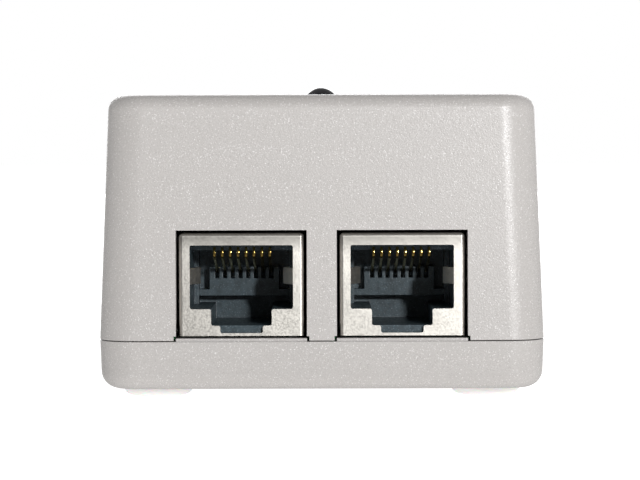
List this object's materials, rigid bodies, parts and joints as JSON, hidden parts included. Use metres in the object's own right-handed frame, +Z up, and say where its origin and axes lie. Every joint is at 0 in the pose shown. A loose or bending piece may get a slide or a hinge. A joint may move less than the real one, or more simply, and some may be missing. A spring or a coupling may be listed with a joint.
{
  "type": "poe injector",
  "caption": "Desktop single-port PoE injector: textured plastic case, shielded data and power sockets side by side, top indicator, rear mains inlet, rubber feet.",
  "frame": {"origin": "middle of the footprint, on the plane that the rubber feet stand on", "axes": "+Z up, -Y out of the sockets, +Y out of the mains inlet, +X to the right when facing the sockets"},
  "size_m": [0.057, 0.105, 0.0408],
  "materials": {
    "case_plastic": "fine spark-eroded texture, light warm grey",
    "clear_rubber": "cloudy clear, soft satin",
    "screw_steel": "zinc plated",
    "label_film": "blank silver-grey film, satin",
    "shield_nickel": "nickel plated sheet, satin with a fine grain",
    "socket_plastic": "moulded, glossy",
    "contact_gold": "gold plated, polished",
    "inlet_plastic": "moulded, satin",
    "pin_nickel": "nickel plated, polished",
    "smoked_lens": "dark tinted, polished",
    "spacer_nylon": "satin",
    "tinned_wire": "tinned",
    "board_laminate": "green solder mask, semi-gloss",
    "insulation_film": "matt film",
    "ferrite": "ground ceramic, matt",
    "winding_tape": "polyester tape, glossy",
    "capacitor_sleeve": "shrink sleeve, glossy",
    "copper_winding": "enamelled wire",
    "film_box": "moulded box, semi-gloss",
    "epoxy": "moulded, matt",
    "heatsink_aluminium": "extruded, clear"
  },
  "bodies": {
    "case": {"upper_cover": "case_plastic", "base_tray": "case_plastic", "foot_front_left": "clear_rubber", "foot_front_right": "clear_rubber", "foot_rear_left": "clear_rubber", "foot_rear_right": "clear_rubber", "case_screw_front_left": "screw_steel", "case_screw_front_right": "screw_steel", "case_screw_rear_left": "screw_steel", "case_screw_rear_right": "screw_steel", "rating_label": "label_film", "data_jack_shield": "shield_nickel", "power_jack_shield": "shield_nickel", "data_jack_insulator": "socket_plastic", "power_jack_insulator": "socket_plastic", "mains_inlet_body": "inlet_plastic", "line_pin": "pin_nickel", "neutral_pin": "pin_nickel", "earth_pin": "pin_nickel", "led_lens": "smoked_lens", "led_spacer": "spacer_nylon", "led_anode": "tinned_wire", "led_cathode": "tinned_wire", "main_board": "board_laminate", "insulation_sheet": "insulation_film", "transformer_core": "ferrite", "output_choke": "ferrite", "transformer_winding": "winding_tape", "bulk_capacitor": "capacitor_sleeve", "output_capacitor_1": "capacitor_sleeve", "output_capacitor_2": "capacitor_sleeve", "common_mode_choke": "copper_winding", "x2_capacitor": "film_box", "mains_fuse": "epoxy", "bridge_rectifier": "epoxy", "switching_transistor": "epoxy", "output_rectifier": "epoxy", "optocoupler": "epoxy", "pwm_controller": "epoxy", "poe_controller": "epoxy", "data_magnetics": "epoxy", "power_magnetics": "epoxy", "primary_heatsink": "heatsink_aluminium", "output_heatsink": "heatsink_aluminium"},
    "data_contacts": {"data_contact_1": "contact_gold", "data_contact_2": "contact_gold", "data_contact_3": "contact_gold", "data_contact_4": "contact_gold", "data_contact_5": "contact_gold", "data_contact_6": "contact_gold", "data_contact_7": "contact_gold", "data_contact_8": "contact_gold"},
    "power_contacts": {"power_contact_1": "contact_gold", "power_contact_2": "contact_gold", "power_contact_3": "contact_gold", "power_contact_4": "contact_gold", "power_contact_5": "contact_gold", "power_contact_6": "contact_gold", "power_contact_7": "contact_gold", "power_contact_8": "contact_gold"}
  },
  "joints": [
    {"name": "data_contact_flex", "type": "hinge", "parent": "case", "child": "data_contacts", "pos_m": [-0.0102, -0.0478, 0.0189], "axis": [1, 0, 0], "range_deg": [0, 6], "stiffness_Nm_per_rad": 0.6},
    {"name": "power_contact_flex", "type": "hinge", "parent": "case", "child": "power_contacts", "pos_m": [0.0102, -0.0478, 0.0189], "axis": [1, 0, 0], "range_deg": [0, 6], "stiffness_Nm_per_rad": 0.6}
  ]
}
